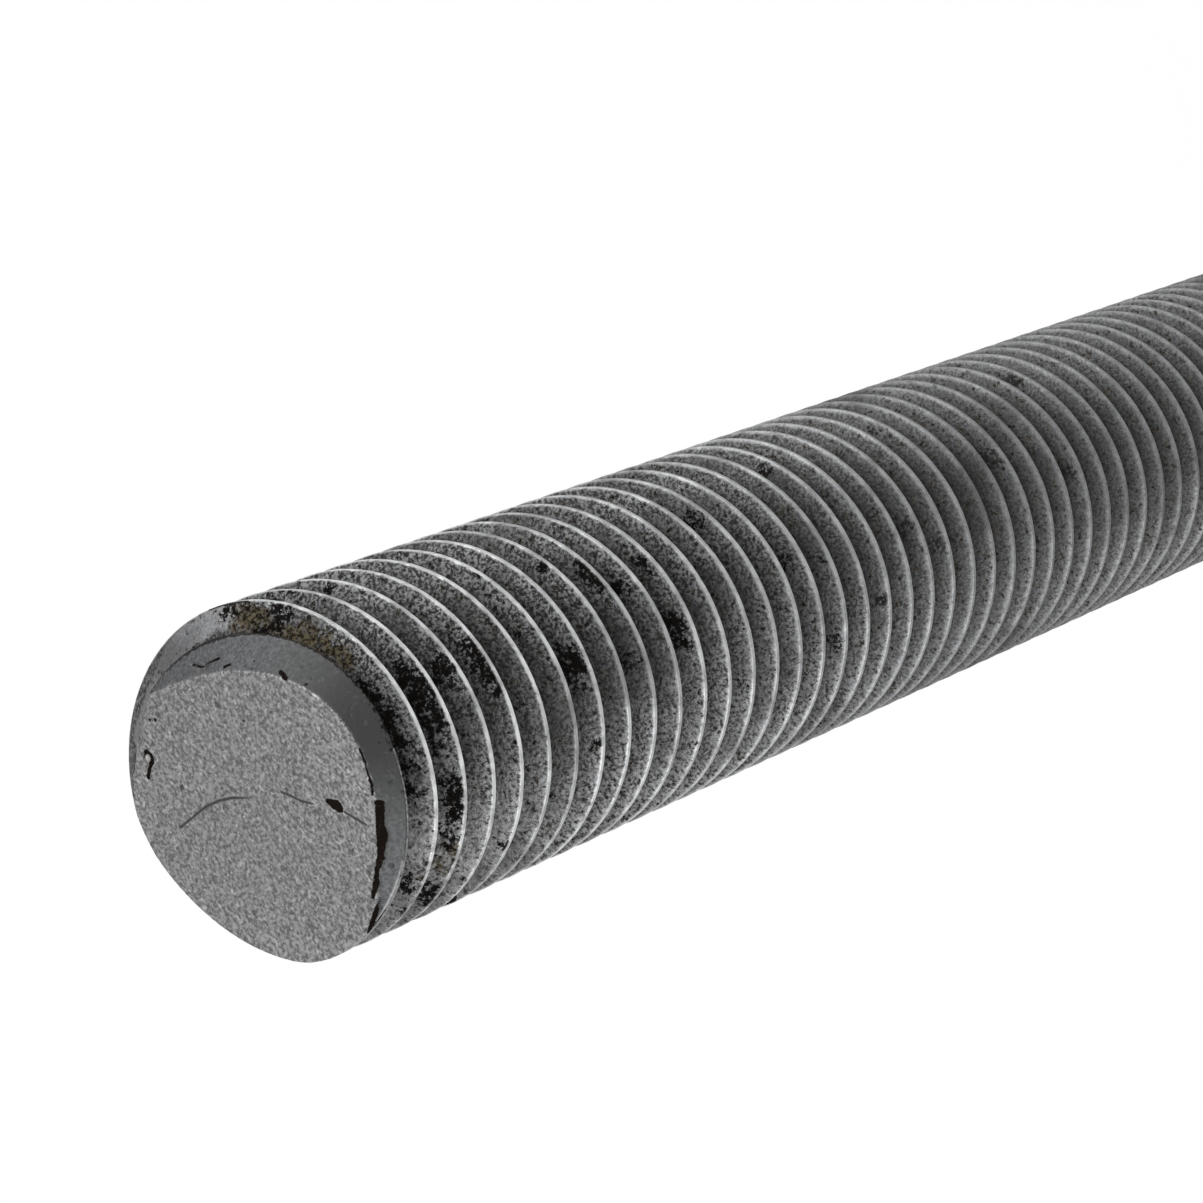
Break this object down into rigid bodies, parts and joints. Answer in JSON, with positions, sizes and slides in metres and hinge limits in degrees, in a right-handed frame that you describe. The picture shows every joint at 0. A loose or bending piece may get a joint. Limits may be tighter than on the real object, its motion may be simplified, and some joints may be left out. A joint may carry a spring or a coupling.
{
  "type": "threaded rod",
  "caption": "Short steel threaded rod with one right-hand thread from end to end, sawn slightly out of square at the top.",
  "frame": {"origin": "centre of the flat foot, at the plain end", "axes": "+Z along the middle line of the rod, from the plain end up to the sawn end"},
  "size_m": [0.019, 0.019, 0.1537],
  "materials": {
    "bare_steel": "bare grey steel, blasted on the sawn face, with rust and dirt in the first turns of the groove"
  },
  "bodies": {
    "root": {"threaded_rod": "bare_steel"}
  },
  "joints": []
}
